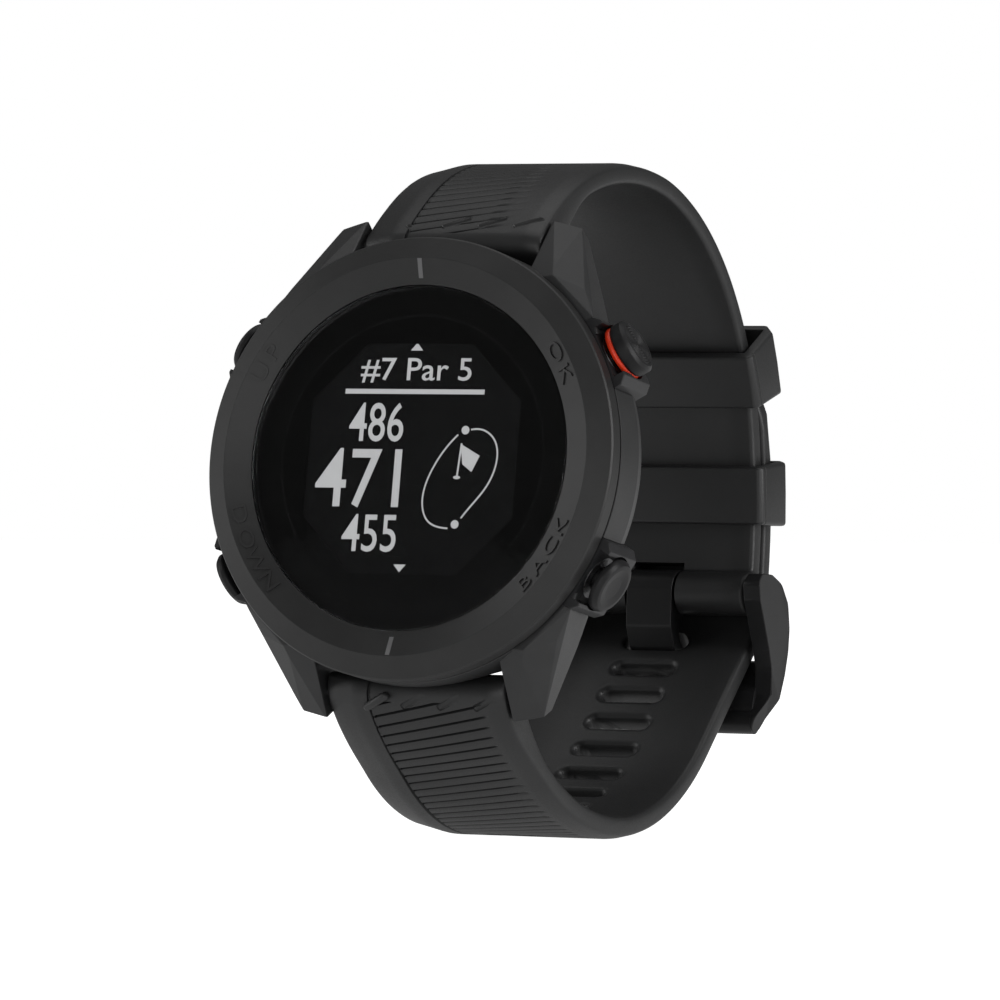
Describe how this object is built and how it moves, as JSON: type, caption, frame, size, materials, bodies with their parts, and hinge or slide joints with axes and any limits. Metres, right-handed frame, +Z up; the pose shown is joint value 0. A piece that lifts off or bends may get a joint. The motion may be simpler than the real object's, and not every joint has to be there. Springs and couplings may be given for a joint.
{
  "type": "golf gps watch",
  "caption": "Round wrist computer for golf with lugs, side buttons, sloping bezel, octagonal display and a buckled silicone strap with adjustment slots and keepers.",
  "frame": {"origin": "centre of the case back, on the face that meets the skin", "axes": "+X to 3 o'clock, +Y from the dial into the wrist, +Z up; the watch leans back 10 degrees about X, so the dial's own vertical is tilted 10 degrees from +Z"},
  "size_m": [0.0447, 0.0699, 0.0675],
  "materials": {
    "case_polymer": "matte moulded fibre-reinforced polymer",
    "bezel_polymer": "matte moulded polymer, satin edge",
    "bezel_mark": "grey inlay",
    "lens_glass": "gloss strengthened glass",
    "black_print": "black printed border",
    "gasket": "satin",
    "display": "reflective display module",
    "holder": "matte",
    "circuit": "green circuit board",
    "switch": "small switches",
    "cell": "pouch foil",
    "antenna": "plated antenna ring",
    "cover": "fine matte",
    "screw_steel": "stainless",
    "contact_gold": "gold-plated",
    "button_metal": "dark coated metal, satin",
    "start_ring": "red-orange accent",
    "guard_polymer": "satin black polymer",
    "strap_silicone": "matte silicone",
    "pin_steel": "stainless",
    "buckle_metal": "dark coated metal, satin"
  },
  "bodies": {
    "watch": {"case_body": "case_polymer", "bezel": "bezel_polymer", "bezel_marks": "bezel_mark", "lens": "lens_glass", "lens_border": "black_print", "lens_gasket": "gasket", "display_module": "display", "display_holder": "holder", "main_board": "circuit", "side_switches": "switch", "battery": "cell", "gps_antenna": "antenna", "back_cover": "cover", "back_cover_seal": "gasket", "back_cover_screws": "screw_steel", "charging_contacts": "contact_gold", "ok_button_guard": "guard_polymer", "back_button_guard": "guard_polymer", "up_button_guard": "guard_polymer", "down_button_guard": "guard_polymer", "button_seals": "gasket", "button_springs": "pin_steel", "upper_strap": "strap_silicone", "lower_strap": "strap_silicone", "upper_bar_tube": "pin_steel", "upper_bar_fixed_pin": "pin_steel", "upper_bar_spring": "pin_steel", "lower_bar_tube": "pin_steel", "lower_bar_fixed_pin": "pin_steel", "lower_bar_spring": "pin_steel"},
    "ok_button_body": {"ok_button": "button_metal", "ok_button_ring": "start_ring", "ok_button_clip": "pin_steel"},
    "back_button_body": {"back_button": "button_metal", "back_button_clip": "pin_steel"},
    "up_button_body": {"up_button": "button_metal", "up_button_clip": "pin_steel"},
    "down_button_body": {"down_button": "button_metal", "down_button_clip": "pin_steel"},
    "upper_release": {"upper_bar_release_pin": "pin_steel"},
    "lower_release": {"lower_bar_release_pin": "pin_steel"},
    "buckle": {"buckle_frame": "buckle_metal", "buckle_bar": "pin_steel"},
    "tongue": {"buckle_tongue": "buckle_metal"},
    "first_keeper": {"keeper_1": "strap_silicone"},
    "second_keeper": {"keeper_2": "strap_silicone"}
  },
  "joints": [
    {"name": "ok_button_press", "type": "slide", "parent": "watch", "child": "ok_button_body", "axis": [-0.8704, -0.0855, -0.4849], "range_m": [0, 0.0005], "stiffness_N_per_m": 900},
    {"name": "back_button_press", "type": "slide", "parent": "watch", "child": "back_button_body", "axis": [-0.8704, 0.0855, 0.4849], "range_m": [0, 0.0005], "stiffness_N_per_m": 900},
    {"name": "up_button_press", "type": "slide", "parent": "watch", "child": "up_button_body", "axis": [0.8704, -0.0855, -0.4849], "range_m": [0, 0.0005], "stiffness_N_per_m": 900},
    {"name": "down_button_press", "type": "slide", "parent": "watch", "child": "down_button_body", "axis": [0.8704, 0.0855, 0.4849], "range_m": [0, 0.0005], "stiffness_N_per_m": 900},
    {"name": "upper_quick_release", "type": "slide", "parent": "watch", "child": "upper_release", "axis": [-1, 0, 0], "range_m": [0, 0.0013], "stiffness_N_per_m": 500},
    {"name": "lower_quick_release", "type": "slide", "parent": "watch", "child": "lower_release", "axis": [-1, 0, 0], "range_m": [0, 0.0013], "stiffness_N_per_m": 500},
    {"name": "buckle_swing", "type": "hinge", "parent": "watch", "child": "buckle", "pos_m": [0, 0.0482, -0.01286], "axis": [1, 0, 0], "range_deg": [0, 5]},
    {"name": "tongue_swing", "type": "hinge", "parent": "buckle", "child": "tongue", "pos_m": [0, 0.0482, -0.01286], "axis": [1, 0, 0], "range_deg": [0, 4]},
    {"name": "first_keeper_slide", "type": "hinge", "parent": "watch", "child": "first_keeper", "pos_m": [0, 0.01894, -0.00081], "axis": [1, 0, 0], "range_deg": [-4, 25]},
    {"name": "second_keeper_slide", "type": "hinge", "parent": "watch", "child": "second_keeper", "pos_m": [0, -0.00217, -0.00368], "axis": [1, 0, 0], "range_deg": [-4.5, 2.3]}
  ]
}
